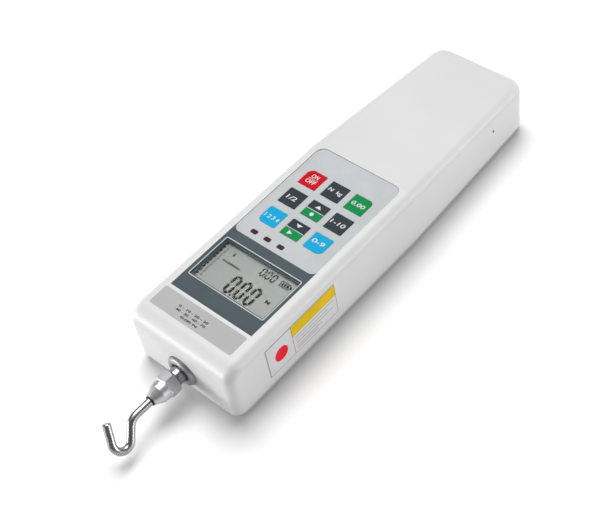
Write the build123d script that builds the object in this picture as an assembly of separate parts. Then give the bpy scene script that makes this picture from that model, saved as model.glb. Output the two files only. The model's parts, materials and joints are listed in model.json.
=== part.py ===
from build123d import *
import math
import os

# Hand-held digital force gauge with an internal load cell, a screw-on pull hook and a membrane keypad.
# Frame: origin on the base plane, 0.85 mm in front of the middle of the footprint, +X to the right of the display,
# +Y towards the rear (battery) end, +Z up through the display. The pull hook points along -Y. Millimetres.

os.makedirs("parts", exist_ok=True)

# ---------------------------------------------------------------- driving dimensions
Z_TOP = 36.0            # top of the upper shell
Z_SEAM = 4.8            # lower edge of the upper shell
Z_REAR = 31.0           # top of the shell at its rear end
Y_FRONT = -113.9        # front face at the seam
RAKE = 0.0              # the front face leans back by this much per mm of height
Y_REAR = 115.6
Y_KINK = 17.0           # the rear part tapers from here
X_KINK = 32.4           # half width at the kink
SLOPE_FRONT = 0.0053    # half width gained per mm towards the front
SLOPE_REAR = 0.0483     # half width lost per mm towards the rear
R_EDGE = 4.9            # long top edges and front corners
R_FRONT = 9.5           # top of the front face
R_REAR = 9.0            # rear corners in plan
WALL = 2.6

Z_AXIS = 15.3           # measuring axis above the base
SHAFT_R = 4.4
COLLAR_R = 8.6

KEY_PITCH_X = 14.68
KEY_PITCH_Y = 14.70
KEY_W, KEY_L = 10.9, 10.5
KEY_Y0 = -17.0          # middle key row
KEY_TRAVEL = 0.3

REC_X = 26.1            # recess for the overlay, half width
REC_Y0, REC_Y1 = -90.1, 17.6
REC_Z = 33.2            # floor of the recess
FILM_Z0, FILM_Z1 = 34.8, 35.6
PANEL_Y0, PANEL_Y1 = -89.9, -47.85
WIN_X, WIN_Y0, WIN_Y1 = 23.5, -79.95, -53.95

CELL_Y0, CELL_Y1 = -90.0, -78.0
CELL_Z0, CELL_Z1 = 9.3, 21.3


def box(x0, x1, y0, y1, z0, z1):
    return Pos((x0 + x1) / 2, (y0 + y1) / 2, (z0 + z1) / 2) * Box(x1 - x0, y1 - y0, z1 - z0)


def cyl_z(x, y, z0, z1, r):
    return Pos(x, y, (z0 + z1) / 2) * Cylinder(r, z1 - z0)


def cyl_y(x, z, y0, y1, r):
    return Pos(x, (y0 + y1) / 2, z) * Rot(90, 0, 0) * Cylinder(r, y1 - y0)


def cyl_x(y, z, x0, x1, r):
    return Pos((x0 + x1) / 2, y, z) * Rot(0, 90, 0) * Cylinder(r, x1 - x0)


def plan(points, z0, z1):
    face = make_face(Polyline(*points, close=True))
    return Pos(0, 0, z0) * extrude(face, z1 - z0)


def profile(points, half):
    # points are (y, z); extruded across X
    face = make_face(Polyline(*[(0, y, z) for y, z in points], close=True))
    return extrude(face, half, dir=(1, 0, 0)) + extrude(face, half, dir=(-1, 0, 0))


def rounded(x0, x1, y0, y1, z0, z1, r):
    # r is one radius or four: rear-left, rear-right, front-right, front-left
    b = box(x0, x1, y0, y1, z0, z1)
    rr = [r] * 4 if isinstance(r, (int, float)) else r
    corners = [(x0, y1), (x1, y1), (x1, y0), (x0, y0)]
    for (cx, cy), rad in zip(corners, rr):
        if rad > 0:
            e = [e for e in b.edges().filter_by(Axis.Z) if abs(e.center().X - cx) < 1e-4 and abs(e.center().Y - cy) < 1e-4]
            b = fillet(e, rad)
    return b


def one(shape):
    # the single solid of a boolean result
    s = sorted(shape.solids(), key=lambda q: -q.volume)
    return s[0]


def half_front(y):
    return X_KINK + (Y_KINK - y) * SLOPE_FRONT


def half_rear(y):
    return X_KINK + (Y_KINK - y) * SLOPE_REAR


def top_rear(y):
    return Z_TOP + (Y_KINK - y) * (Z_TOP - Z_REAR) / (Y_REAR - Y_KINK)


def shell_body(t, z0, edge=None):
    # outer shape of the upper shell, moved in by t on every side
    r = R_EDGE - t if edge is None else edge
    yf0 = Y_FRONT + t * math.sqrt(1 + RAKE**2) + RAKE * (z0 - Z_SEAM)
    yf1 = Y_FRONT + t * math.sqrt(1 + RAKE**2) + RAKE * (Z_TOP - t - Z_SEAM)
    far = 130.0
    a = plan([(-half_front(-far) + t, -far), (half_front(-far) - t, -far), (half_front(far) - t, far), (-half_front(far) + t, far)], z0, Z_TOP - t)
    a = a & profile([(yf0, z0), (yf1, Z_TOP - t), (far, Z_TOP - t), (far, z0)], 60)
    a = one(a)
    e = [q for q in a.edges().filter_by(Axis.X) if abs(q.center().Y - yf1) < 0.01 and abs(q.center().Z - (Z_TOP - t)) < 0.01]
    a = fillet(e, R_FRONT - t)
    e = [q for q in a.edges() if abs(q.center().X) > 25 and q.center().Z > z0 + 0.5 and q.center().Y < far - 0.5]
    a = fillet(e, r)
    yr = Y_REAR - t
    b = plan([(-half_rear(-far) + t, -far), (half_rear(-far) - t, -far), (half_rear(yr) - t, yr), (-half_rear(yr) + t, yr)], z0, 60)
    b = b & profile([(-far, z0), (-far, top_rear(-far) - t), (yr, top_rear(yr) - t), (yr, z0)], 80)
    b = one(b)
    e = [q for q in b.edges().filter_by(Axis.Z) if q.center().Y > yr - 0.5]
    b = fillet(e, R_REAR - t)
    e = [q for q in b.edges() if q.center().Z > z0 + 0.5 and q.center().Y > -far + 0.5
         and abs(q.center().Z - (top_rear(q.center().Y) - t)) < 0.4]
    b = fillet(e, r)
    return one(a & b)


def outline(inset, z0, z1, yf, radius, rear):
    # plan outline of the housing moved in by inset, with its own front line
    yr = Y_REAR - inset
    pts = [(-half_front(yf) + inset, yf), (half_front(yf) - inset, yf), (X_KINK - inset, Y_KINK),
           (half_rear(yr) - inset, yr), (-half_rear(yr) + inset, yr), (-X_KINK + inset, Y_KINK)]
    p = plan(pts, z0, z1)
    p = fillet([q for q in p.edges().filter_by(Axis.Z) if q.center().Y < yf + 0.5], radius)
    return fillet([q for q in p.edges().filter_by(Axis.Z) if q.center().Y > yr - 0.5], rear)


nodes = {}

# ---------------------------------------------------------------- upper shell
case_screw_xy = [(-26.0, -101.0), (26.0, -101.0), (-20.5, 104.5), (20.5, 104.5)]
board_screw_xy = [(-24.3, -85.8), (24.3, -85.8), (-24.3, 0.5), (24.3, 0.5)]
led_x = [-15.55, -7.05, 1.45]
LED_Y = -43.65
key_xy = {}
for row, y in (("rear", KEY_Y0 + KEY_PITCH_Y), ("middle", KEY_Y0), ("front", KEY_Y0 - KEY_PITCH_Y)):
    for col, x in (("left", -KEY_PITCH_X), ("centre", 0.0), ("right", KEY_PITCH_X)):
        key_xy[(row, col)] = (x, y)

outer = shell_body(0.0, Z_SEAM)
inner = shell_body(WALL, Z_SEAM - 1.0)
DECK_X, DECK_Y0, DECK_Y1, DECK_Z0 = 27.0, -92.6, 19.0, 31.2
band = box(-DECK_X, DECK_X, DECK_Y0, DECK_Y1, REC_Z, 37)             # the deck meets the shell's underside here
cavity = inner - band
for x, y in case_screw_xy:
    cavity = cavity - cyl_z(x, y, 8.0, 40, 3.6)
# ring round the measuring shaft that the collar seats in
cavity = cavity - (cyl_y(0, Z_AXIS, -116, -107.8, 11.0) & box(-20, 20, -120, -100, 8.2, 40))
top = outer - cavity
top = top - rounded(-REC_X, REC_X, REC_Y0, REC_Y1, 30, 40, [4.9, 4.9, 0, 0])
top = top - cyl_y(0, Z_AXIS, -125, -105, COLLAR_R + 0.1)             # collar seat
for x, y in case_screw_xy:
    top = top - cyl_z(x, y, 7, 19, 1.5)
# data socket cut-out in the left wall and pinhole in the right wall
SOCK_Y, SOCK_Z = 2.0, 13.5
top = top - box(-40, -26, SOCK_Y - 4.2, SOCK_Y + 4.2, SOCK_Z - 2.4, SOCK_Z + 2.4)
PIN_Y, PIN_Z = 85.3, 20.6
top = top - cyl_x(PIN_Y, PIN_Z, 24, 34, 0.8)
nodes["top_cover"] = one(top)

# floor of the recess, with the board posts under it
deck = box(-DECK_X, DECK_X, DECK_Y0, DECK_Y1, DECK_Z0, REC_Z)
for x, y in board_screw_xy:
    deck = deck + cyl_z(x, y, 26.8, DECK_Z0 + 0.5, 2.6)
deck = deck - rounded(-25.8, 25.8, -82.6, -51.3, 25, 40, 1.0)        # display well
for x in led_x:
    deck = deck - box(x - 1.9, x + 1.9, LED_Y - 1.2, LED_Y + 1.2, 30, 34)
deck = deck - box(-7, 7, 9.0, 11.2, 30, 34)                           # slot for the keypad tail
for x, y in board_screw_xy:
    deck = deck - cyl_z(x, y, 26, 30.6, 1.25)
nodes["keypad_deck"] = one(deck)

# ---------------------------------------------------------------- base cover
BASE_YF = Y_FRONT + 1.5
BAT_X, BAT_Y0, BAT_Y1 = 18.4, 8.0, 101.6      # battery bay, outside of its walls
DOOR_SCREW_Y = 5.6
base = outline(1.5, 0.0, Z_SEAM - 0.2, BASE_YF, 6.0, R_REAR - 1.4)
base = chamfer([e for e in base.edges() if abs(e.center().Z) < 1e-3], 0.8)
hollow = outline(4.6, 2.4, 20.0, Y_FRONT + 5.6, 4.0, 4.6)
lip = outline(2.8, 2.4, 7.8, Y_FRONT + 3.9, 5.0, R_REAR - 2.6)
base = base + lip - hollow
base = base - box(-12.5, 12.5, -113, -106, 4.6, 20)                    # lip is cut away below the collar
for x, y in case_screw_xy:
    base = base + cyl_z(x, y, 1.0, 7.9, 3.7)
stand_xy = [(-20.0, -62.0), (20.0, -62.0), (-20.0, -2.0), (20.0, -2.0)]
for x, y in stand_xy:
    base = base + cyl_z(x, y, 1.0, 7.4, 4.6)
base = base + box(-28.6, -16.0, CELL_Y0, CELL_Y1, 1.0, CELL_Z0)        # pedestal for the load cell
base = base + cyl_z(13.2, -84.0, 1.0, 4.4, 3.0)                        # seat for the overload stop
base = base + cyl_z(0, DOOR_SCREW_Y, 1.0, 7.0, 2.8)
bay = box(-BAT_X, BAT_X, BAT_Y0, BAT_Y1, 1.0, 7.6) - box(-BAT_X + 1.4, BAT_X - 1.4, BAT_Y0 + 1.4, BAT_Y1 - 1.4, 0, 14)
base = base + bay
DOOR = (-BAT_X + 2.6, BAT_X - 2.6, BAT_Y0 + 2.6, BAT_Y1 - 2.6)
base = base - box(-BAT_X + 1.4, BAT_X - 1.4, BAT_Y0 + 1.4, BAT_Y1 - 1.4, 2.4, 14)
base = base - rounded(DOOR[0], DOOR[1], DOOR[2], DOOR[3], -1, 3, 2.0)
for x, y in case_screw_xy:
    base = base - cyl_z(x, y, -1, 9, 1.7) - cyl_z(x, y, -1, 3.0, 3.0)
for x, y in stand_xy:
    base = base - cyl_z(x, y, -1, 8, 2.8)
for x in (-25.2, -19.2):
    base = base - cyl_z(x, -84.0, 4.0, 12, 1.5)
base = base - cyl_z(13.2, -84.0, 1.6, 6, 1.25)
base = base - box(-4.2, 4.2, DOOR_SCREW_Y - 3.0, BAT_Y0 + 3.0, -1, 2.0) - cyl_z(0, DOOR_SCREW_Y, 1.0, 6.0, 1.0)
nodes["base_cover"] = one(base)

nodes["case_gasket"] = one(outline(1.7, Z_SEAM - 0.2, Z_SEAM, BASE_YF + 0.2, 5.8, R_REAR - 1.6) - outline(2.8, Z_SEAM - 1, Z_SEAM + 1, Y_FRONT + 3.9, 3.0, 4.4))

screws = []
for x, y in case_screw_xy:
    s = cyl_z(x, y, 0.8, 3.0, 2.8) + cyl_z(x, y, 3.0, 17.5, 1.48)
    s = s - (Pos(x, y, 0.8) * Box(0.8, 3.6, 1.6)) - (Pos(x, y, 0.8) * Box(3.6, 0.8, 1.6))
    screws.append(one(s))
nodes["case_screws"] = Compound(children=screws)

nodes["stand_inserts"] = Compound(children=[one(cyl_z(x, y, 0.0, 7.2, 2.8) - cyl_z(x, y, -1, 9, 2.0)) for x, y in stand_xy])

# ---------------------------------------------------------------- battery bay
cells = []
contacts = []
for x in (-10.9, 0.0, 10.9):
    for y0 in (BAT_Y0 + 2.0, BAT_Y0 + 46.9):
        c = cyl_y(x, 7.9, y0, y0 + 43.7, 5.2) + cyl_y(x, 7.9, y0 + 43.7, y0 + 44.5, 1.9)
        cells.append(one(c))
    contacts.append(box(x - 3.5, x + 3.5, BAT_Y0 + 1.4, BAT_Y0 + 1.8, 3.0, 7.4))
    contacts.append(box(x - 3.5, x + 3.5, BAT_Y1 - 1.8, BAT_Y1 - 1.4, 3.0, 7.4))
nodes["battery_cells"] = Compound(children=cells)
nodes["battery_contacts"] = Compound(children=[one(c) for c in contacts])
door = rounded(DOOR[0] + 0.2, DOOR[1] - 0.2, DOOR[2] + 0.2, DOOR[3] - 0.2, 0.0, 2.2, 1.8)
for i in range(4):
    door = door - box(-7, 7, 80 + i * 3.0, 81.2 + i * 3.0, -1, 0.6)
door = door + box(-4.0, 4.0, DOOR_SCREW_Y - 2.8, DOOR[2] + 1.2, 0.8, 1.8)
door = door - cyl_z(0, DOOR_SCREW_Y, -1, 4, 1.1)
nodes["battery_door"] = one(door)
nodes["battery_door_screw"] = one(cyl_z(0, DOOR_SCREW_Y, 0.1, 0.8, 1.9) + cyl_z(0, DOOR_SCREW_Y, 0.8, 5.6, 0.98)
                                  - box(-1.4, 1.4, DOOR_SCREW_Y - 0.2, DOOR_SCREW_Y + 0.2, 0, 0.4))

# ---------------------------------------------------------------- collar, shaft and load cell
sk = make_face(
    Line((5.0, -105.9), (9.9, -105.9)) + Line((9.9, -105.9), (9.9, -107.75)) + Line((9.9, -107.75), (COLLAR_R, -107.75))
    + Line((COLLAR_R, -107.75), (COLLAR_R, -114.1)) + ThreePointArc((COLLAR_R, -114.1), (7.9, -115.5), (6.3, -116.1))
    + ThreePointArc((6.3, -116.1), (5.4, -115.95), (5.0, -115.4)) + Line((5.0, -115.4), (5.0, -105.9)))
collar = Pos(0, 0, Z_AXIS) * revolve(sk, Axis.Y, 360)
nodes["front_collar"] = one(collar)
nodes["collar_retainer"] = one(cyl_y(0, Z_AXIS, -105.85, -104.6, 9.6) - cyl_y(0, Z_AXIS, -107, -104, 5.2))

shaft = cyl_y(0, Z_AXIS, -119.9, CELL_Y0, SHAFT_R) + cyl_y(0, Z_AXIS, -130.2, -119.9, 3.0) + cyl_y(0, Z_AXIS, CELL_Y0, -71.0, 3.0)
shaft = chamfer([e for e in shaft.edges().filter_by(GeomType.CIRCLE) if abs(e.center().Y + 130.2) < 0.01 or abs(e.center().Y + 71.0) < 0.01 or (abs(e.center().Y + 119.9) < 0.01 and e.radius > 4)], 0.5)
nodes["measuring_shaft"] = one(shaft)
nodes["load_cell_moving_end"] = one(box(-6.0, 9.0, CELL_Y0, CELL_Y1, CELL_Z0, CELL_Z1) - cyl_y(0, Z_AXIS, -92, -76, 3.02))


def hex_prism(af, y0, y1, turn=0.0):
    h = RegularPolygon(af / 2, 6, major_radius=False, rotation=turn)
    return Pos(0, y1, Z_AXIS) * (Rot(90, 0, 0) * extrude(h, y1 - y0))


nut = hex_prism(10.0, CELL_Y1 + 0.02, -73.0) - cyl_y(0, Z_AXIS, -79, -72, 3.02)
nodes["shaft_lock_nut"] = one(nut)

beam = box(-28.6, -6.0, CELL_Y0, CELL_Y1, CELL_Z0, CELL_Z1) - rounded(-16.4, -5.0, CELL_Y0 + 1.3, CELL_Y1 - 1.3, 5, 30, [3.0, 0, 0, 3.0])
for x in (-25.2, -19.2):
    beam = beam - cyl_z(x, -84.0, 5, 30, 1.7) - cyl_z(x, -84.0, 18.0, 30, 2.9)
nodes["load_cell_beam"] = one(beam)
gauges = []
for x in (-14.6, -9.6):
    gauges.append(box(x - 1.6, x + 1.6, CELL_Y0 - 0.15, CELL_Y0, 13.0, 17.6))
    gauges.append(box(x - 1.6, x + 1.6, CELL_Y1, CELL_Y1 + 0.15, 13.0, 17.6))
nodes["strain_gauges"] = Compound(children=[one(g) for g in gauges])
cs = []
for x in (-25.2, -19.2):
    s = cyl_z(x, -84.0, 18.0, 21.0, 2.7) + cyl_z(x, -84.0, 5.0, 18.0, 1.48)
    s = s - (Pos(x, -84.0, 20.2) * extrude(RegularPolygon(1.25, 6, major_radius=False), 2))
    cs.append(one(s))
nodes["load_cell_screws"] = Compound(children=cs)

STOP_GAP = 0.3
stop = box(6.3, 17.0, -93.0, -75.0, 4.4, 6.2) + box(6.3, 11.0, -93.0, CELL_Y0 - STOP_GAP, 4.4, 18.0) + box(6.3, 11.0, CELL_Y1 + STOP_GAP, -75.0, 4.4, 18.0)
stop = stop - cyl_z(13.2, -84.0, 3, 8, 1.4)
nodes["overload_stop"] = one(stop)
nodes["overload_stop_screw"] = one(cyl_z(13.2, -84.0, 6.2, 8.2, 2.3) + cyl_z(13.2, -84.0, 1.8, 6.2, 1.23) - (Pos(13.2, -84.0, 7.6) * Box(0.7, 3.2, 1.4)))

# coupling nut of the hook: hexagon, round shoulder and cone
NUT_Y0, NUT_Y1 = -120.2, -134.6
np_ = [(3.05, NUT_Y0), (5.4, NUT_Y0), (6.35, NUT_Y0 - 0.75), (6.35, -125.4), (5.3, -126.3), (5.1, -129.9), (2.75, NUT_Y1 + 0.1), (2.55, NUT_Y1), (2.02, NUT_Y1), (2.02, -131.4), (3.05, -131.4)]
nut_rev = Pos(0, 0, Z_AXIS) * revolve(make_face(Polyline(*np_, close=True)), Axis.Y, 360)
HOOK_ROLL = math.radians(-56.0)
nut_hex = hex_prism(11.0, -136.0, -118.5, turn=12.0)
nodes["coupling_nut"] = one(nut_rev & nut_hex)

# pull hook: round bar, shank on the axis, offset bend and a U bend lying in one plane rolled about the axis
BAR_R = 2.0
P = [(0.0, 0.0)]


def adv(p, a, s):
    return (p[0] + s * math.cos(a), p[1] + s * math.sin(a))


def to3(p):
    return (p[1] * math.cos(HOOK_ROLL), -131.4 - p[0], Z_AXIS + p[1] * math.sin(HOOK_ROLL))


def arc_points(p, a, r, turn):
    s = 1 if turn > 0 else -1
    c = (p[0] - r * s * math.sin(a), p[1] + r * s * math.cos(a))

    def at(t):
        d = a + s * t
        return (c[0] + r * s * math.sin(d), c[1] - r * s * math.cos(d))

    return at(abs(turn) / 2), at(abs(turn)), a + turn


OFFSET = math.radians(50.5)
TURN = math.radians(-163.0)
p0 = (0.0, 0.0)
p1 = adv(p0, 0, 12.4)
m1, p2, a1 = arc_points(p1, 0, 7.1, OFFSET)
p3 = adv(p2, a1, 6.1)
m2, p4, a2 = arc_points(p3, a1, 4.7, TURN)
p5 = adv(p4, a2, 10.0)
path = (Line(to3(p0), to3(p1)) + ThreePointArc(to3(p1), to3(m1), to3(p2)) + Line(to3(p2), to3(p3))
        + ThreePointArc(to3(p3), to3(m2), to3(p4)) + Line(to3(p4), to3(p5)))
wire = Wire(path.edges())
hook = sweep(Plane(to3(p0), x_dir=(1, 0, 0), z_dir=(0, -1, 0)) * Circle(BAR_R), path=wire)
tip = sorted(hook.edges().filter_by(GeomType.CIRCLE), key=lambda e: (Vector(*to3(p5)) - e.arc_center).length)[0]
hook = chamfer(tip, 0.4)
nodes["pull_hook"] = one(hook)
nodes["hook_ring"] = one(cyl_y(0, Z_AXIS, NUT_Y1 - 0.6, NUT_Y1 - 0.02, 2.65) - cyl_y(0, Z_AXIS, NUT_Y1 - 2, NUT_Y1 + 1, 2.03))

# ---------------------------------------------------------------- keypad stack
overlay_cut = [4.7, 4.7, 3.6, 3.6]
film = rounded(-25.95, 25.95, PANEL_Y1, 17.4, FILM_Z0, FILM_Z1, overlay_cut)
spacer = rounded(-25.9, 25.9, -41.0, 17.3, REC_Z + 0.4, FILM_Z0, [4.6, 4.6, 0.5, 0.5])
circuit = rounded(-25.9, 25.9, -41.0, 17.3, REC_Z, REC_Z + 0.4, [4.6, 4.6, 0.5, 0.5])
domes = []
R_D = (4.2**2 + 0.5**2) / (2 * 0.5)
for (row, col), (x, y) in key_xy.items():
    rad = {("rear", "left"): [3.2, 0.3, 0.3, 0.3], ("rear", "right"): [0.3, 2.4, 0.3, 0.3],
           ("front", "left"): [0.9, 0.3, 0.9, 3.2], ("front", "right"): [0.3, 0.9, 3.2, 0.9]}.get((row, col), [0.3] * 4)
    w, l = KEY_W / 2, KEY_L / 2
    film = film - rounded(x - w - 0.1, x + w + 0.1, y - l - 0.1, y + l + 0.1, 34, 37, [r + 0.1 for r in rad])
    spacer = spacer - box(x - w - 0.75, x + w + 0.75, y - l - 0.75, y + l + 0.75, 33, 36)
    tile = rounded(x - w, x + w, y - l, y + l, 34.45, 35.72, rad)
    tile = fillet([e for e in tile.edges() if abs(e.center().Z - 35.72) < 1e-3], 0.12)
    key = tile + box(x - w - 0.5, x + w + 0.5, y - l - 0.5, y + l + 0.5, 34.45, 34.72)
    nodes["key_%s_%s" % (row, col)] = one(key)
    cap = (Pos(x, y, 34.1 - R_D) * Sphere(R_D)) & box(x - 5, x + 5, y - 5, y + 5, 33.6, 35)
    cap = cap - (Pos(x, y, 34.1 - 0.15 - R_D) * Sphere(R_D))
    domes.append(one(cap))
for x in led_x:
    film = film - rounded(x - 2.0, x + 2.0, LED_Y - 1.3, LED_Y + 1.3, 34, 37, 0.9)
nodes["keypad_overlay"] = one(film)
nodes["key_spacer"] = one(spacer)
nodes["keypad_circuit"] = one(circuit)
nodes["snap_domes"] = Compound(children=domes)
nodes["led_windows"] = Compound(children=[one(rounded(x - 1.98, x + 1.98, LED_Y - 1.27, LED_Y + 1.27, FILM_Z0, 35.55, 0.88)) for x in led_x])

nodes["keypad_tail"] = one(box(-6, 6, 10.0, 10.25, 27.2, REC_Z) + box(-6, 6, 3.2, 10.25, 27.2, 27.45))

# ---------------------------------------------------------------- display
panel = box(-25.95, 25.95, PANEL_Y0, -41.1, REC_Z, FILM_Z1)
panel = panel - rounded(-25.95, 25.95, PANEL_Y1, 17.4, FILM_Z0, 40, overlay_cut)
panel = panel - box(-WIN_X - 0.05, WIN_X + 0.05, WIN_Y0 - 0.05, WIN_Y1 + 0.05, 34.75, 40)
panel = panel - box(-22.9, 22.9, -79.3, -54.6, 30, 40)
for x in led_x:
    panel = panel - box(x - 1.9, x + 1.9, LED_Y - 1.2, LED_Y + 1.2, 30, 36)
nodes["display_panel"] = one(panel)
nodes["display_window"] = one(box(-WIN_X, WIN_X, WIN_Y0, WIN_Y1, 34.75, 35.55))
nodes["lcd_glass"] = one(box(-25.0, 25.0, -81.4, -52.5, 31.4, 33.15))
nodes["lcd_backlight"] = one(box(-24.9, 24.9, -78.6, -55.3, 27.6, 31.35))
nodes["lcd_frame"] = one(rounded(-25.7, 25.7, -82.5, -51.4, 26.8, 33.15, 0.8) - box(-25.1, 25.1, -81.5, -52.4, 20, 40))
nodes["zebra_strips"] = Compound(children=[one(box(-24.5, 24.5, -81.2, -79.2, 26.8, 31.35)), one(box(-24.5, 24.5, -54.7, -52.7, 26.8, 31.35))])

# ---------------------------------------------------------------- electronics
board = box(-27.0, 27.0, -88.4, 4.0, 25.2, 26.8)
for x, y in board_screw_xy:
    board = board - cyl_z(x, y, 20, 30, 1.4)
nodes["main_board"] = one(board)
bs = []
for x, y in board_screw_xy:
    bs.append(one(cyl_z(x, y, 23.6, 25.2, 2.3) + cyl_z(x, y, 25.2, 30.2, 1.23) - (Pos(x, y, 23.6) * Box(0.7, 3.0, 1.2))))
nodes["board_screws"] = Compound(children=bs)
comps = [box(-7, 7, -50, -36, 23.8, 25.2), box(-20, -13, -64, -57, 24.0, 25.2), box(12, 19, -66, -56, 24.0, 25.2),
         box(-19, -12, -30, -20, 23.9, 25.2), box(-5, 5, -24, -18, 23.6, 25.2)]
nodes["board_components"] = Compound(children=[one(c) for c in comps])
nodes["buzzer"] = one(cyl_z(14, -28, 20.4, 25.2, 6.0) - cyl_z(14, -28, 19, 21.2, 1.0))
nodes["indicator_leds"] = Compound(children=[one(box(x - 1.2, x + 1.2, LED_Y - 0.8, LED_Y + 0.8, 26.8, 28.0)) for x in led_x])
nodes["light_pipes"] = Compound(children=[one(box(x - 1.7, x + 1.7, LED_Y - 1.0, LED_Y + 1.0, 28.05, FILM_Z0)) for x in led_x])
nodes["tail_connector"] = one(box(-7, 7, -2.0, 3.2, 26.8, 29.0) - box(-6.1, 6.1, 1.0, 4, 27.1, 27.6))

# data and charging socket in the left wall, with its tongue
sx = -half_front(SOCK_Y)
sock = box(sx + 0.4, sx + 9.6, SOCK_Y - 4.0, SOCK_Y + 4.0, SOCK_Z - 2.2, SOCK_Z + 2.2) - box(sx - 1, sx + 8.6, SOCK_Y - 3.4, SOCK_Y + 3.4, SOCK_Z - 1.6, SOCK_Z + 1.6)
nodes["usb_socket"] = one(sock)
nodes["usb_tongue"] = one(box(sx + 2.0, sx + 8.6, SOCK_Y - 2.7, SOCK_Y + 2.7, SOCK_Z - 0.4, SOCK_Z + 0.4))

# ---------------------------------------------------------------- labels
nodes["front_label"] = one(rounded(-26.9, 25.4, -103.5, -92.0, Z_TOP, Z_TOP + 0.12, 0.9))
ly0, ly1 = -90.4, -42.7
lab = plan([(half_front(ly0), ly0), (half_front(ly1), ly1), (half_front(ly1) + 0.15, ly1), (half_front(ly0) + 0.15, ly0)], 9.6, 29.8)
nodes["side_label"] = one(lab)

for name, shape in nodes.items():
    shape.label = name
    export_step(shape, "parts/%s.step" % name)
print(len(nodes), "nodes")
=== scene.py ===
import json
import math

import bmesh
import bpy
from mathutils import Matrix, Vector


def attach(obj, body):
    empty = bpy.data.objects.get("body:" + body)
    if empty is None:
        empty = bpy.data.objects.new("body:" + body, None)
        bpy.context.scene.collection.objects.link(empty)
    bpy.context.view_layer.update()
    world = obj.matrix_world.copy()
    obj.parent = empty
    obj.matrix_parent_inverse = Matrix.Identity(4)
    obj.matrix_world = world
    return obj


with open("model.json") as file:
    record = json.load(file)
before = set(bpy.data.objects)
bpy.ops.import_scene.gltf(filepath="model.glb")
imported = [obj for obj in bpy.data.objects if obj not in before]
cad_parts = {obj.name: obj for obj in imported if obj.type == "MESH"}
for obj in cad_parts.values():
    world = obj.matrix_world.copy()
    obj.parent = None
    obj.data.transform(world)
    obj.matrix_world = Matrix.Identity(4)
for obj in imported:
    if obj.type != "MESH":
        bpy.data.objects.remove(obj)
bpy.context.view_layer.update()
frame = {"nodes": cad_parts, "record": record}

nodes = frame["nodes"]
MM = 0.001
scene = bpy.context.scene
scene.view_settings.view_transform = "Standard"
scene.view_settings.look = "None"

# ---------------------------------------------------------------- camera
cam = bpy.data.cameras.new("camera")
cam.sensor_width = 36.0
cam.sensor_fit = "HORIZONTAL"
cam.lens = 1281.0 / 600.0 * 36.0
cam.clip_start, cam.clip_end = 0.01, 20.0
cam_ob = bpy.data.objects.new("camera", cam)
cam_ob.matrix_world = Matrix((
    (0.739295, -0.441226, 0.508686, 0.315381),
    (0.659359, 0.627687, -0.413829, -0.288441),
    (-0.136704, 0.641349, 0.754973, 0.485886),
    (0.0, 0.0, 0.0, 1.0)))
scene.collection.objects.link(cam_ob)
scene.camera = cam_ob


# ---------------------------------------------------------------- materials
def lin(c):
    return tuple((v / 12.92 if v <= 0.04045 else ((v + 0.055) / 1.055) ** 2.4) for v in c)


def rgb(r, g, b):
    return lin((r / 255.0, g / 255.0, b / 255.0)) + (1.0,)


LIT = 1.27      # light on an upward face, as a multiple of its colour
GLOSS = 0.010   # what the clear gloss adds to every colour


def seen(r, g, b, lit=LIT):
    """The base colour that looks like (r, g, b) on an upward face under this scene's light."""
    return tuple(max(0.002, (v - GLOSS) / lit) for v in rgb(r, g, b)[:3]) + (1.0,)


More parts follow.
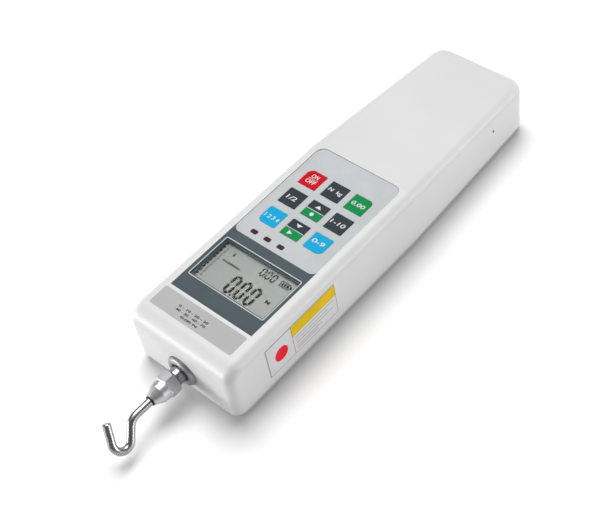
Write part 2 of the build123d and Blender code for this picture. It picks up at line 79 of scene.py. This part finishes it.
class Mat:
    """A principled material with object coordinates, a colour variation, a roughness variation and a bump."""

    def __init__(self, name, color, rough=0.45, metal=0.0, spec=0.5, coat=0.0, coat_rough=0.1):
        self.m = bpy.data.materials.new(name)
        self.m.use_nodes = True
        self.t = self.m.node_tree
        self.p = next(n for n in self.t.nodes if n.type == "BSDF_PRINCIPLED")
        self.color = color
        self.p.inputs["Base Color"].default_value = color
        self.p.inputs["Roughness"].default_value = rough
        self.p.inputs["Metallic"].default_value = metal
        self.p.inputs["Specular IOR Level"].default_value = spec
        self.p.inputs["Coat Weight"].default_value = coat
        self.p.inputs["Coat Roughness"].default_value = coat_rough
        self.co = self.t.nodes.new("ShaderNodeTexCoord")
        self.m.diffuse_color = color

    def noise(self, scale, detail=3.0, stretch=None, rough=0.55):
        n = self.t.nodes.new("ShaderNodeTexNoise")
        n.inputs["Scale"].default_value = scale
        n.inputs["Detail"].default_value = detail
        n.inputs["Roughness"].default_value = rough
        if stretch:
            mp = self.t.nodes.new("ShaderNodeMapping")
            mp.inputs["Scale"].default_value = stretch
            self.t.links.new(self.co.outputs["Object"], mp.inputs["Vector"])
            self.t.links.new(mp.outputs["Vector"], n.inputs["Vector"])
        else:
            self.t.links.new(self.co.outputs["Object"], n.inputs["Vector"])
        return n.outputs["Fac"]

    def spread(self, fac, lo, hi, a=0.3, b=0.7):
        r = self.t.nodes.new("ShaderNodeMapRange")
        r.inputs["From Min"].default_value = a
        r.inputs["From Max"].default_value = b
        r.inputs["To Min"].default_value = lo
        r.inputs["To Max"].default_value = hi
        self.t.links.new(fac, r.inputs["Value"])
        return r.outputs["Result"]

    def vary(self, fac, dark=0.94, light=1.03):
        mx = self.t.nodes.new("ShaderNodeMix")
        mx.data_type = "RGBA"
        c = self.color
        mx.inputs[6].default_value = tuple(min(1.0, v * dark) for v in c[:3]) + (1.0,)
        mx.inputs[7].default_value = tuple(min(1.0, v * light) for v in c[:3]) + (1.0,)
        self.t.links.new(self.spread(fac, 0.0, 1.0), mx.inputs[0])
        self.t.links.new(mx.outputs[2], self.p.inputs["Base Color"])
        return self

    def rough(self, fac, lo, hi):
        self.t.links.new(self.spread(fac, lo, hi), self.p.inputs["Roughness"])
        return self

    def bump(self, fac, strength=0.1, distance=0.0002):
        b = self.t.nodes.new("ShaderNodeBump")
        b.inputs["Strength"].default_value = strength
        b.inputs["Distance"].default_value = distance
        self.t.links.new(fac, b.inputs["Height"])
        self.t.links.new(b.outputs["Normal"], self.p.inputs["Normal"])
        return self


def moulded(name, color, rough=0.42, spec=0.5, grain=2600.0, strength=0.12, coat=0.0):
    m = Mat(name, color, rough, 0.0, spec, coat)
    m.vary(m.noise(26.0, 2.0), 0.975, 1.012)
    fine = m.noise(grain, 2.0)
    m.rough(fine, rough - 0.05, rough + 0.06)
    m.bump(fine, strength, 0.00006)
    return m.m


def printed(name, color, rough=0.36, dark=0.96, light=1.03, strength=0.06, spec=0.05):
    m = Mat(name, color, rough, 0.0, spec)
    m.vary(m.noise(90.0, 3.0), dark, light)
    g = m.noise(4200.0, 1.0)
    m.rough(g, rough - 0.04, rough + 0.05)
    m.bump(g, strength, 0.00003)
    return m.m


def steel(name, color, rough=0.16, stretch=(1.0, 0.04, 1.0), strength=0.08, scale=1800.0, lo=None, hi=None):
    m = Mat(name, color, rough, 1.0)
    g = m.noise(scale, 3.0, stretch)
    m.vary(m.noise(160.0, 2.0), 0.9, 1.05)
    m.rough(g, lo if lo is not None else rough * 0.7, hi if hi is not None else rough * 1.5)
    m.bump(g, strength, 0.00003)
    return m.m


white = moulded("painted_white", seen(229, 229, 229), 0.42)
# painted shade: the base plate is coloured darker than the housing's white, to stand for the shade under the housing's
# lower edge
base_grey = moulded("base_grey", seen(200, 200, 201), 0.5)
black_rubber = moulded("black_rubber", rgb(26, 26, 27), 0.7, 0.3)
black_plastic = moulded("black_plastic", rgb(30, 30, 32), 0.5)
collar_grey = steel("collar_grey", rgb(156, 156, 158), 0.48, (1.0, 1.0, 1.0))
overlay = printed("overlay_grey", seen(208, 211, 213), 0.36)
slate = printed("panel_slate", seen(88, 99, 105), 0.34)
key_dark = printed("key_dark", seen(62, 70, 76), 0.36)
key_red = printed("key_red", seen(214, 20, 44), 0.36)
key_green = printed("key_green", seen(10, 150, 84), 0.36)
key_blue = printed("key_blue", seen(0, 178, 230), 0.36)
label_grey = printed("label_grey", seen(196, 196, 197), 0.5, 0.97, 1.02)
label_silver = printed("label_silver", seen(206, 205, 208, 0.98), 0.38, 0.95, 1.03)
led_smoke = printed("led_smoke", seen(66, 50, 56), 0.25, 0.75, 1.25)
ink_black = printed("ink_black", seen(30, 32, 32), 0.5)
ink_white = printed("ink_white", seen(236, 240, 240), 0.45)
ink_grey = printed("ink_grey", rgb(120, 118, 124), 0.5)
ink_line = printed("ink_line", rgb(82, 82, 88), 0.5)
ink_yellow = printed("ink_yellow", seen(214, 180, 24, 0.98), 0.4, 0.9, 1.06)
ink_pink = printed("ink_pink", seen(224, 186, 110, 0.98), 0.45)
ink_red = printed("ink_red", seen(222, 40, 52, 0.98), 0.4)
ink_frame = printed("ink_frame", seen(222, 228, 228), 0.45)
chrome = steel("steel_bright", rgb(158, 158, 160), 0.26)
nut_steel = steel("steel_nut", rgb(200, 200, 202), 0.40, (1.0, 1.0, 1.0))
steel_plain = steel("steel_plain", rgb(176, 176, 178), 0.3)
zinc = steel("zinc_steel", rgb(186, 188, 190), 0.32, (1.0, 1.0, 1.0))
brass = steel("brass", rgb(206, 168, 92), 0.28, (1.0, 1.0, 0.05))
alu = steel("aluminium", rgb(198, 200, 203), 0.34)
film = printed("film_clear", rgb(196, 182, 134), 0.3)
backlight = printed("backlight", rgb(226, 232, 226), 0.4)
pcb = printed("pcb", rgb(20, 92, 52), 0.4, 0.8, 1.2)
chip = moulded("chip", rgb(28, 28, 30), 0.5)
led_clear = printed("led_clear", rgb(226, 120, 110), 0.25)
cell_wrap = printed("cell_wrap", rgb(52, 58, 82), 0.35)


def lcd_with_painted_edge_shade():
    # A reflective display. Its rear and left edges are painted darker as painted shade, on top of the real shade that
    # the frame above casts on them.
    m = Mat("lcd", rgb(170, 178, 168), 0.3)
    sep = m.t.nodes.new("ShaderNodeSeparateXYZ")
    m.t.links.new(m.co.outputs["Object"], sep.inputs["Vector"])

    def edge(out, start, end):
        r = m.t.nodes.new("ShaderNodeMapRange")
        r.interpolation_type = "SMOOTHSTEP"
        r.inputs["From Min"].default_value = start
        r.inputs["From Max"].default_value = end
        m.t.links.new(out, r.inputs["Value"])
        return r.outputs["Result"]

    # painted shade masks: 0 on the open glass, rising to 1 at the rear and left edges
    rear = edge(sep.outputs["Y"], -0.0592, -0.0545)
    left = edge(sep.outputs["X"], -0.0195, -0.0232)
    mx = m.t.nodes.new("ShaderNodeMath"); mx.operation = "MAXIMUM"
    m.t.links.new(rear, mx.inputs[0]); m.t.links.new(left, mx.inputs[1])
    c = m.t.nodes.new("ShaderNodeMix"); c.data_type = "RGBA"
    # the display's own colour, then the darker painted shade colour for its rear and left edges
    c.inputs[6].default_value = seen(154, 160, 153)
    c.inputs[7].default_value = seen(140, 148, 142)
    m.t.links.new(mx.outputs[0], c.inputs[0])
    m.t.links.new(c.outputs[2], m.p.inputs["Base Color"])
    m.rough(m.noise(900.0, 2.0), 0.26, 0.34)
    return m.m


def window_material():
    # Thin clear window: nearly all of the light passes, and a faint gloss is left.
    m = Mat("window_clear", (0.25, 0.27, 0.28, 1.0), 0.06, 0.0, 0.5)
    m.p.inputs["Alpha"].default_value = 0.05
    m.rough(m.noise(300.0, 2.0), 0.04, 0.09)
    return m.m


lcd = lcd_with_painted_edge_shade()
window = window_material()

SLOTS = {
    "painted_white": white, "base_grey": base_grey, "black_rubber": black_rubber, "steel_bright": chrome,
    "steel_plain": steel_plain, "zinc_steel": zinc, "brass": brass, "aluminium": alu, "collar_grey": collar_grey,
    "overlay_grey": overlay, "panel_slate": slate, "window_clear": window, "lcd": lcd, "backlight": backlight,
    "black_plastic": black_plastic, "pcb": pcb, "chip": chip, "film_clear": film, "key_dark": key_dark,
    "key_red": key_red, "key_green": key_green, "key_blue": key_blue, "led_smoke": led_smoke,
    "led_clear": led_clear, "label_silver": label_silver, "label_grey": label_grey, "cell_wrap": cell_wrap,
}
slot_of = {s["node"]: s["material_slot"] for s in frame["record"]["subparts"]}
for name, ob in nodes.items():
    mat = SLOTS[slot_of[name]]
    if not ob.data.materials:
        ob.data.materials.append(mat)
    for i in range(len(ob.data.materials)):
        ob.data.materials[i] = mat
nodes["coupling_nut"].data.materials[0] = nut_steel


# ---------------------------------------------------------------- graphics
def piece(name, bm, mat, body):
    me = bpy.data.meshes.new(name)
    bm.to_mesh(me)
    bm.free()
    me.materials.append(mat)
    ob = bpy.data.objects.new(name, me)
    scene.collection.objects.link(ob)
    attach(ob, body)
    return ob


def prism(bm, pts, z0, z1, frame_of=None):
    """A closed prism over the outline pts (mm) from z0 to z1 (mm)."""
    area = sum(pts[i][0] * pts[(i + 1) % len(pts)][1] - pts[(i + 1) % len(pts)][0] * pts[i][1] for i in range(len(pts)))
    if area < 0:
        pts = pts[::-1]
    put = frame_of or (lambda u, v, w: (u, v, w))
    lo = [bm.verts.new(Vector(put(x, y, z0)) * MM) for x, y in pts]
    hi = [bm.verts.new(Vector(put(x, y, z1)) * MM) for x, y in pts]
    bm.faces.new(lo[::-1])
    bm.faces.new(hi)
    n = len(pts)
    for i in range(n):
        bm.faces.new((lo[i], lo[(i + 1) % n], hi[(i + 1) % n], hi[i]))


def rect(bm, x0, x1, y0, y1, z0, z1, frame_of=None):
    prism(bm, [(x0, y0), (x1, y0), (x1, y1), (x0, y1)], z0, z1, frame_of)


def disc(bm, x, y, r, z0, z1, n=32, frame_of=None):
    prism(bm, [(x + r * math.cos(2 * math.pi * i / n), y + r * math.sin(2 * math.pi * i / n)) for i in range(n)], z0, z1, frame_of)


def round_rect(x0, x1, y0, y1, r, n=6):
    pts = []
    for cx, cy, a in ((x1 - r, y0 + r, -90), (x1 - r, y1 - r, 0), (x0 + r, y1 - r, 90), (x0 + r, y0 + r, 180)):
        for i in range(n + 1):
            t = math.radians(a + 90.0 * i / n)
            pts.append((cx + r * math.cos(t), cy + r * math.sin(t)))
    return pts


def ring(bm, outer, inner, z0, z1, frame_of=None):
    """A closed band between two outlines with as many points."""
    put = frame_of or (lambda u, v, w: (u, v, w))
    rows = [[bm.verts.new(Vector(put(x, y, z)) * MM) for x, y in pts] for pts, z in ((outer, z0), (outer, z1), (inner, z1), (inner, z0))]
    n = len(outer)
    for a in range(4):
        b = (a + 1) % 4
        for i in range(n):
            j = (i + 1) % n
            bm.faces.new((rows[a][i], rows[a][j], rows[b][j], rows[b][i]))


def text(bm, body, cx, cy, height, z0, z1, width=None, slant=0.0, bold=0.0, frame_of=None):
    """Adds the words as closed solids, centred at (cx, cy), height mm high and width mm wide."""
    cu = bpy.data.curves.new("t", "FONT")
    cu.body = body
    cu.size = 1.0
    cu.extrude = 0.5
    cu.offset = bold
    cu.resolution_u = 3
    ob = bpy.data.objects.new("t", cu)
    scene.collection.objects.link(ob)
    bpy.context.view_layer.update()
    me = bpy.data.meshes.new_from_object(ob.evaluated_get(bpy.context.evaluated_depsgraph_get()))
    bpy.data.objects.remove(ob)
    bpy.data.curves.remove(cu)
    xs = [v.co.x for v in me.vertices]
    ys = [v.co.y for v in me.vertices]
    w, h = max(xs) - min(xs), max(ys) - min(ys)
    sx = (width / w) if width else height / h * 0.8
    sy = height / h
    mx, my = (max(xs) + min(xs)) / 2, (max(ys) + min(ys)) / 2
    put = frame_of or (lambda a, b, c: (a, b, c))
    tmp = bmesh.new()
    tmp.from_mesh(me)
    bmesh.ops.remove_doubles(tmp, verts=tmp.verts, dist=1e-5)
    for v in tmp.verts:
        y = (v.co.y - my) * sy
        x = (v.co.x - mx) * sx + slant * y
        z = z1 if v.co.z > 0 else z0
        v.co = Vector(put(cx + x, cy + y, z)) * MM
    out = bpy.data.meshes.new("t")
    tmp.to_mesh(out)
    tmp.free()
    bm.from_mesh(out)
    bpy.data.meshes.remove(out)
    bpy.data.meshes.remove(me)


def segment_digit(bm, x, y, w, h, t, z0, z1, slant, lit="abcdef"):
    """A seven segment digit whose lower left corner is (x, y)."""
    g = t * 0.10
    c = t * 0.5

    def s(px, py):
        return (px + slant * (py - y), py)

    def hor(yc):
        return [(x + c + g, yc), (x + t + g, yc + c), (x + w - t - g, yc + c), (x + w - c - g, yc), (x + w - t - g, yc - c), (x + t + g, yc - c)]

    def ver(xc, ya, yb):
        return [(xc, ya + g), (xc + c, ya + c + g), (xc + c, yb - c - g), (xc, yb - g), (xc - c, yb - c - g), (xc - c, ya + c + g)]

    mid = y + h / 2
    segs = {"a": hor(y + h - c), "g": hor(mid), "d": hor(y + c), "b": ver(x + w - c, mid, y + h - c), "c": ver(x + w - c, y + c, mid),
            "f": ver(x + c, mid, y + h - c), "e": ver(x + c, y + c, mid)}
    for k in lit:
        prism(bm, [s(*p) for p in segs[k]], z0, z1)


# Keys: ON and OFF, plain units, numbers and symbols.
KZ0, KZ1 = 35.70, 35.76
PX, PY, Y0 = 14.68, 14.70, -17.0


def key(name, draw, suffix="mark", mat=ink_white, z=(KZ0, KZ1)):
    bm = bmesh.new()
    draw(bm, z[0], z[1])
    return piece(name + "_" + suffix, bm, mat, name + "_cap")


def word(w, x, y, h, width):
    return lambda bm, a, b: text(bm, w, x, y, h, a, b, width, 0.12, 0.012)


def on_off(bm, a, b):
    text(bm, "ON", -PX + 0.1, Y0 + PY + 2.15, 2.5, a, b, 4.2, 0.1, 0.012)
    rect(bm, -PX - 2.9, -PX + 2.9, Y0 + PY + 0.2, Y0 + PY + 0.4, a, b)
    text(bm, "OFF", -PX, Y0 + PY - 1.6, 2.5, a, b, 6.0, 0.1, 0.012)


key("key_rear_left", on_off)
key("key_rear_centre", word("N  kg", -0.1, Y0 + PY, 2.9, 8.2))
key("key_rear_right", word("0.00", PX - 0.1, Y0 + PY, 2.5, 7.8))
key("key_middle_left", word("1/2", -PX - 0.4, Y0 - 0.1, 2.6, 5.8))
key("key_middle_right", word("1-10", PX - 0.3, Y0, 2.5, 8.4))
key("key_front_left", word("1 2 3 4", -PX, Y0 - PY - 0.4, 2.4, 8.7))
key("key_front_right", word("0-9", PX - 0.3, Y0 - PY + 0.5, 2.6, 7.4))


def lower_half(bm, a, b, y):
    rect(bm, -5.4, 5.4, y - 5.2, y - 0.35, a, b)


for nm, y in (("key_middle_centre", Y0), ("key_front_centre", Y0 - PY)):
    key(nm, lambda bm, a, b, y=y: lower_half(bm, a, b, y), "half", key_green, (35.70, 35.74))
    key(nm, lambda bm, a, b, y=y: rect(bm, -5.4, 5.4, y - 0.35, y - 0.05, a, b), "line", ink_white, (35.70, 35.745))

key("key_middle_centre", lambda bm, a, b: (prism(bm, [(-1.8, Y0 + 1.6), (1.8, Y0 + 1.6), (0, Y0 + 3.6)], a, b), disc(bm, -0.1, Y0 - 2.7, 1.1, a, b)), "mark", z=(KZ0, 35.78))
key("key_front_centre", lambda bm, a, b: (prism(bm, [(-1.8, Y0 - PY + 3.7), (1.8, Y0 - PY + 3.7), (0, Y0 - PY + 1.8)], a, b), prism(bm, [(-2.2, Y0 - PY - 4.1), (0.4, Y0 - PY - 2.75), (-2.2, Y0 - PY - 1.4)], a, b)), "mark", z=(KZ0, 35.78))

# Display contents, on the glass: plain numbers, a unit and plain symbols.
LZ0, LZ1 = 33.14, 33.19
bm = bmesh.new()
for i in range(3):
    segment_digit(bm, -5.9 + 6.25 * i, -78.1, 4.95, 11.7, 1.6, LZ0, LZ1, 0.03)
disc(bm, -0.3, -77.5, 0.62, LZ0, LZ1, 12)
for i in range(3):
    segment_digit(bm, 2.1 + 3.35 * i, -61.0, 2.75, 5.2, 0.8, LZ0, LZ1, 0.03)
disc(bm, 5.15, -60.7, 0.3, LZ0, LZ1, 10)
text(bm, "N", 17.15, -70.4, 2.0, LZ0, LZ1, 2.5, 0.0, 0.07)
text(bm, "0123456", -12.3, -63.75, 1.4, LZ0, LZ1, 11.2, 0.05, 0.05)
# battery outline with three bars
ring(bm, round_rect(14.3, 20.4, -60.0, -56.7, 0.3), round_rect(14.8, 19.9, -59.5, -57.2, 0.2), LZ0, LZ1)
rect(bm, 20.45, 21.1, -59.0, -57.7, LZ0, LZ1)
for i in range(3):
    rect(bm, 15.25 + 1.5 * i, 16.4 + 1.5 * i, -59.2, -57.5, LZ0, LZ1)
# arrow
prism(bm, [(-15.9, -58.6), (-14.3, -58.6), (-15.1, -60.0)], LZ0, LZ1)
rect(bm, -15.3, -14.9, -58.6, -57.2, LZ0, LZ1)
# bar scale: dots and ticks
for i in range(10):
    y = -76.5 + 2.36 * i
    disc(bm, -22.6, y, 0.7, LZ0, LZ1, 10)
    rect(bm, -20.9, -19.6, y - 0.22, y + 0.22, LZ0, LZ1)
    rect(bm, -20.9, -20.1, y + 0.98, y + 1.3, LZ0, LZ1)
piece("display_contents", bm, ink_black, "housing")

# Light line printed round the display, under the window's edge
bm = bmesh.new()
ring(bm, round_rect(-24.4, 24.15, -80.65, -53.3, 1.1), round_rect(-23.95, 23.72, -80.2, -53.75, 0.8), 35.59, 35.63)
piece("display_frame_line", bm, ink_frame, "housing")

# Front label: plain numbers
bm = bmesh.new()
text(bm, "0 - 10 - 20 - 30", -4.0, -96.8, 1.3, 36.11, 36.12, 18.8, 0.0, 0.03)
text(bm, "40 - 50 - 60 - 70", -4.0, -99.0, 1.3, 36.11, 36.12, 18.8, 0.0, 0.03)
text(bm, "0.00 N", -3.0, -101.2, 1.3, 36.11, 36.12, 10.4, 0.0, 0.03)
piece("front_label_print", bm, ink_black, "housing")

# Side label: an outline, two cells, a yellow band, a plain disc and ruled lines
def wall(u, v, w):
    return (32.4 + 0.0053 * (17.0 - u) + 0.15 + w, u, v)


SW0, SW1 = -0.02, 0.010
bm = bmesh.new()
rect(bm, -90.3, -90.05, 9.75, 29.65, SW0, SW1, wall)
rect(bm, -90.3, -42.8, 29.4, 29.65, SW0, SW1, wall)
rect(bm, -90.3, -42.8, 9.75, 9.95, SW0, SW1, wall)
rect(bm, -43.0, -42.8, 9.75, 29.65, SW0, SW1, wall)
rect(bm, -73.35, -73.1, 9.95, 29.4, SW0, SW1, wall)
piece("side_label_outline", bm, ink_line, "housing")
bm = bmesh.new()
rect(bm, -73.1, -43.0, 22.0, 29.35, SW0, SW1, wall)
piece("side_label_band", bm, ink_yellow, "housing")
bm = bmesh.new()
disc(bm, -81.3, 19.0, 4.3, SW0, SW1, 48, wall)
piece("side_label_disc", bm, ink_red, "housing")
bm = bmesh.new()
for z, y0, y1 in ((20.2, -71.6, -45.0), (18.0, -71.6, -49.5), (15.8, -71.6, -46.0), (13.6, -71.6, -54.0), (12.0, -71.6, -57.0)):
    rect(bm, y0, y1, z - 0.16, z + 0.16, SW0, SW1, wall)
piece("side_label_rules", bm, ink_grey, "housing")

# ---------------------------------------------------------------- floor and light
bm = bmesh.new()
rect(bm, -3000, 3000, -3000, 3000, -4.0, -0.02)
me = bpy.data.meshes.new("floor")
bm.to_mesh(me)
bm.free()
floor = bpy.data.objects.new("floor", me)
fm = Mat("floor", (0.95, 0.95, 0.95, 1.0), 0.8, 0.0, 0.1)
fm.vary(fm.noise(2.0, 1.0), 0.995, 1.0)
me.materials.append(fm.m)
scene.collection.objects.link(floor)


def area(name, loc, target, size, power):
    li = bpy.data.lights.new(name, "AREA")
    li.shape = "RECTANGLE"
    li.size, li.size_y = size
    li.energy = power
    ob = bpy.data.objects.new(name, li)
    d = Vector(target) - Vector(loc)
    ob.matrix_world = Matrix.Translation(loc) @ d.to_track_quat("-Z", "Y").to_matrix().to_4x4()
    scene.collection.objects.link(ob)
    return ob


# A soft light high at the rear left, and two low ones that reach the front and the right wall from opposite sides
area("key_light", (-0.38, 0.34, 1.38), (0, 0, 0), (1.05, 1.05), 23.0)
area("left_fill", (-0.70, -0.95, 0.14), (0, 0, 0.02), (0.80, 0.25), 10.5)
area("right_fill", (1.05, 0.60, 0.14), (0, 0, 0.02), (0.80, 0.25), 6.9)

SKY_LOW, SKY_HIGH = 0.20, 0.20
world = bpy.data.worlds.new("world")
world.use_nodes = True
wt = world.node_tree
bg = next(n for n in wt.nodes if n.type == "BACKGROUND")
wc = wt.nodes.new("ShaderNodeTexCoord")
ws = wt.nodes.new("ShaderNodeSeparateXYZ")
wr = wt.nodes.new("ShaderNodeMapRange")
wr.interpolation_type = "SMOOTHSTEP"
wr.inputs["From Min"].default_value = 0.0
wr.inputs["From Max"].default_value = 0.55
wr.inputs["To Min"].default_value = SKY_LOW
wr.inputs["To Max"].default_value = SKY_HIGH
wt.links.new(wc.outputs["Generated"], ws.inputs["Vector"])
wt.links.new(ws.outputs["Z"], wr.inputs["Value"])
wt.links.new(wr.outputs["Result"], bg.inputs["Strength"])
bg.inputs["Color"].default_value = (1.0, 1.0, 1.0, 1.0)
scene.world = world
